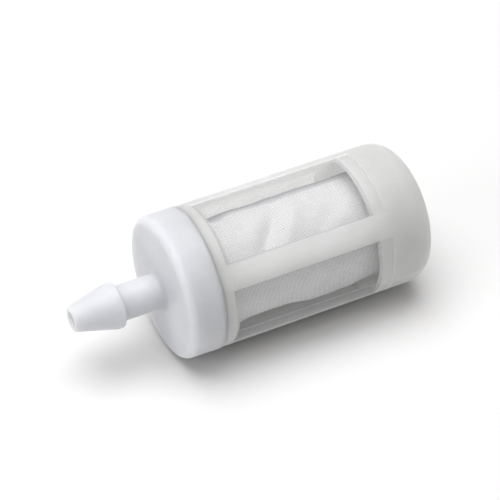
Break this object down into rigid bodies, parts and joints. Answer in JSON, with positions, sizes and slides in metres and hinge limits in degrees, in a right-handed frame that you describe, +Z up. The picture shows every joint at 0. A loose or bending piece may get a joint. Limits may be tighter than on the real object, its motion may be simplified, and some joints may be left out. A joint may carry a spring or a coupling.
{
  "type": "fuel filter",
  "caption": "In-tank fuel filter of a small engine: a windowed nylon cage with mesh screens and an inner bag, welded to a cap with a barbed hose nipple.",
  "frame": {"origin": "on the filter's axis, in the plane of the cap's flat face, where the hose stops", "axes": "+X along the filter's axis from the cap to the closed end, -X along the nipple; +Z up with the filter lying on its side"},
  "size_m": [0.0455, 0.018, 0.018],
  "materials": {
    "nylon": "natural translucent nylon, satin",
    "mesh": "fine woven nylon monofilament mesh",
    "felt": "white nonwoven filter cloth",
    "ring_nylon": "natural nylon, satin"
  },
  "bodies": {
    "root": {"outlet_cap": "nylon", "cage_body": "nylon", "screen_top": "mesh", "screen_front": "mesh", "screen_bottom": "mesh", "screen_back": "mesh", "filter_bag": "felt", "bag_ring": "ring_nylon"}
  },
  "joints": []
}
